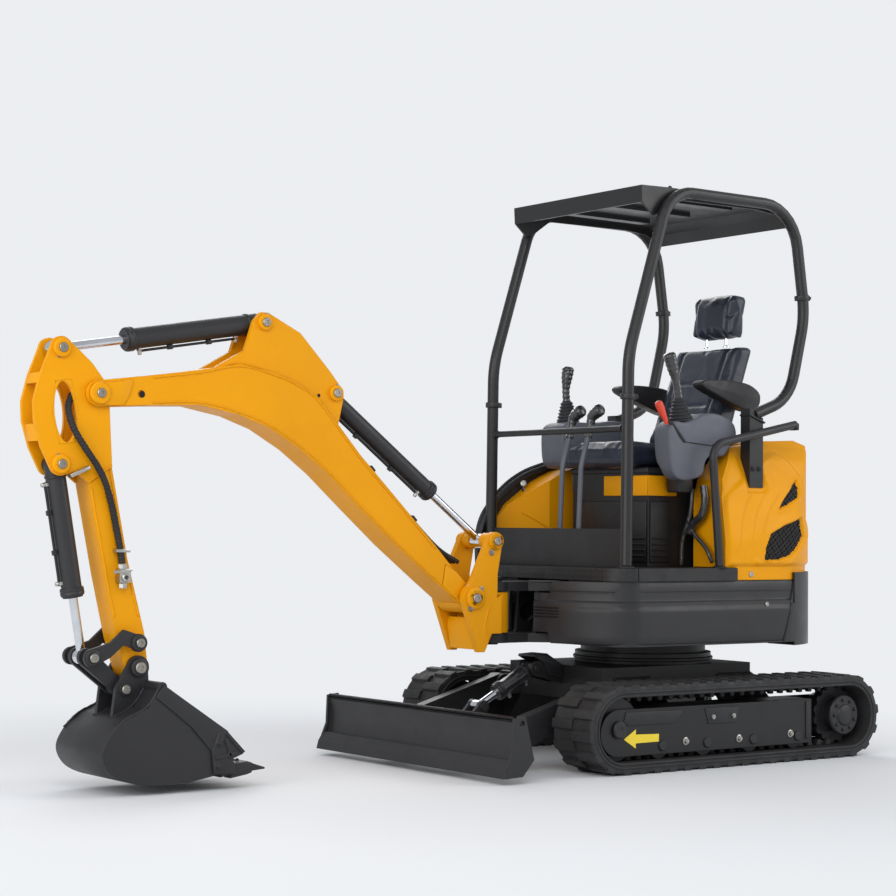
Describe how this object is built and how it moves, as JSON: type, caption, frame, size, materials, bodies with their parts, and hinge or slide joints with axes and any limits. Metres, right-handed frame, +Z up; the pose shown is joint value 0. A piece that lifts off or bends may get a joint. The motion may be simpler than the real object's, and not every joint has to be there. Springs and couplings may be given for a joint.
{
  "type": "mini excavator",
  "caption": "Compact tracked excavator with open canopy, operator seat, dozer blade, swing boom, arm and toothed bucket for digging.",
  "frame": {"origin": "middle of the machine's overall box, on the ground", "axes": "+X forward towards the bucket, +Y to the operator's left, +Z up"},
  "size_m": [3.6419, 1.258, 2.342],
  "materials": {
    "rubber": "matt moulded rubber",
    "frame_black": "satin black paint on welded steel",
    "dark_paint": "satin dark grey paint",
    "dark_cast": "dark grey paint on cast iron",
    "engine_cast": "plain block",
    "yellow_paint": "gloss yellow paint",
    "rod_chrome": "polished piston rod",
    "seat_cover": "black vinyl cover",
    "black_plastic": "moulded black plastic",
    "grey_plastic": "moulded grey plastic",
    "red_plastic": "red grip",
    "grey_paint": "grey paint",
    "hose_rubber": "corrugated hose sleeve",
    "valve_steel": "plated steel"
  },
  "bodies": {
    "undercarriage": {"track_left": "rubber", "track_right": "rubber", "track_frame": "frame_black", "idlers": "dark_paint", "sprockets": "dark_paint", "rollers": "dark_paint", "slew_ring": "dark_paint"},
    "blade": {"blade": "dark_paint"},
    "blade_barrel": {"blade_barrel": "dark_paint"},
    "blade_rod": {"blade_rod": "rod_chrome"},
    "house": {"platform": "frame_black", "skirts": "dark_paint", "counterweight": "dark_cast", "floor": "frame_black", "engine_block": "engine_cast", "hood": "yellow_paint", "right_cover": "yellow_paint", "right_shell": "dark_paint", "seat_base": "frame_black", "seat_cushion": "seat_cover", "seat_back": "seat_cover", "headrest": "seat_cover", "armrests": "black_plastic", "consoles": "grey_plastic", "joysticks": "black_plastic", "safety_lever": "red_plastic", "travel_levers": "grey_paint", "front_guard": "frame_black", "handrail": "dark_paint", "canopy_left": "dark_paint", "canopy_right": "dark_paint", "canopy_feet": "frame_black", "roof": "dark_paint"},
    "rear_door": {"rear_door": "yellow_paint"},
    "swing_post": {"swing_post": "yellow_paint"},
    "boom": {"boom": "yellow_paint"},
    "boom_barrel": {"boom_barrel": "dark_paint"},
    "boom_rod": {"boom_rod": "rod_chrome"},
    "arm": {"arm": "yellow_paint", "arm_hose": "hose_rubber", "service_valve": "valve_steel"},
    "arm_barrel": {"arm_barrel": "dark_paint"},
    "arm_rod": {"arm_rod": "rod_chrome"},
    "bucket_barrel": {"bucket_barrel": "dark_paint"},
    "bucket_rod": {"bucket_rod": "rod_chrome"},
    "guide_link": {"guide_link": "dark_paint"},
    "push_link": {"push_link": "dark_paint"},
    "bucket": {"bucket": "dark_paint"}
  },
  "joints": [
    {"name": "slew", "type": "hinge", "parent": "undercarriage", "child": "house", "pos_m": [-1.04, 0, 0.45], "axis": [0, 0, 1], "continuous": true},
    {"name": "boom_swing", "type": "hinge", "parent": "house", "child": "swing_post", "pos_m": [-0.225, 0, 0.6], "axis": [0, 0, 1], "range_deg": [-50, 75]},
    {"name": "boom_lift", "type": "hinge", "parent": "swing_post", "child": "boom", "pos_m": [-0.06, 0, 0.666], "axis": [0, -1, 0], "range_deg": [-58, 46]},
    {"name": "arm_crowd", "type": "hinge", "parent": "boom", "child": "arm", "pos_m": [1.58, 0, 1.404], "axis": [0, 1, 0], "range_deg": [-52, 37]},
    {"name": "bucket_curl", "type": "hinge", "parent": "arm", "child": "bucket", "pos_m": [1.406, 0, 0.439], "axis": [0, -1, 0], "range_deg": [-60, 90]},
    {"name": "blade_lift", "type": "hinge", "parent": "undercarriage", "child": "blade", "pos_m": [-0.52, 0, 0.29], "axis": [0, -1, 0], "range_deg": [-22, 26]},
    {"name": "rear_door_hinge", "type": "hinge", "parent": "house", "child": "rear_door", "pos_m": [-1.728, -0.281, 0.99], "axis": [0, 0, 1], "range_deg": [0, 100]},
    {"name": "boom_barrel_turn", "type": "hinge", "parent": "boom", "child": "boom_barrel", "pos_m": [0.582, 0, 1.449], "axis": [0, 1, 0], "range_deg": [-2.19, 2.5]},
    {"name": "boom_rod_slide", "type": "slide", "parent": "boom_barrel", "child": "boom_rod", "axis": [-0.7992, 0, -0.601], "range_m": [-0.1679, 0.2111]},
    {"name": "arm_barrel_turn", "type": "hinge", "parent": "boom", "child": "arm_barrel", "pos_m": [0.9, 0, 1.698], "axis": [0, 1, 0], "range_deg": [-6.48, 4.9]},
    {"name": "arm_rod_slide", "type": "slide", "parent": "arm_barrel", "child": "arm_rod", "axis": [0.9857, 0, -0.1687], "range_m": [-0.1629, 0.1165]},
    {"name": "guide_link_turn", "type": "hinge", "parent": "arm", "child": "guide_link", "pos_m": [1.415, 0, 0.527], "axis": [0, 1, 0], "range_deg": [-57.29, 38.53]},
    {"name": "push_link_turn", "type": "hinge", "parent": "guide_link", "child": "push_link", "pos_m": [1.595, 0, 0.479], "axis": [0, 1, 0], "range_deg": [-16.9, 24.85]},
    {"name": "bucket_barrel_turn", "type": "hinge", "parent": "arm", "child": "bucket_barrel", "pos_m": [1.715, 0, 1.152], "axis": [0, 1, 0], "range_deg": [-1.78, 2.17]},
    {"name": "bucket_rod_slide", "type": "slide", "parent": "bucket_barrel", "child": "bucket_rod", "axis": [-0.1755, 0, -0.9845], "range_m": [-0.1628, 0.1092]},
    {"name": "blade_barrel_turn", "type": "hinge", "parent": "undercarriage", "child": "blade_barrel", "pos_m": [-0.425, 0, 0.373], "axis": [0, 1, 0], "range_deg": [-31.05, 26.43]},
    {"name": "blade_rod_slide", "type": "slide", "parent": "blade_barrel", "child": "blade_rod", "axis": [0.8808, 0, -0.4735], "range_m": [-0.0517, 0.044]}
  ],
  "couplings": [
    {"joint": "boom_barrel_turn", "follows": "boom_lift", "ratio": -0.0258},
    {"joint": "boom_rod_slide", "follows": "boom_lift", "m_per_rad": -0.20659},
    {"joint": "arm_barrel_turn", "follows": "arm_crowd", "ratio": 0.10533},
    {"joint": "arm_rod_slide", "follows": "arm_crowd", "m_per_rad": 0.17731},
    {"joint": "guide_link_turn", "follows": "bucket_curl", "ratio": -0.6255},
    {"joint": "push_link_turn", "follows": "bucket_curl", "ratio": 0.265},
    {"joint": "bucket_barrel_turn", "follows": "bucket_curl", "ratio": 0.01295},
    {"joint": "bucket_rod_slide", "follows": "bucket_curl", "m_per_rad": -0.10234},
    {"joint": "blade_barrel_turn", "follows": "blade_lift", "ratio": -1.1558},
    {"joint": "blade_rod_slide", "follows": "blade_lift", "m_per_rad": -0.10951}
  ]
}
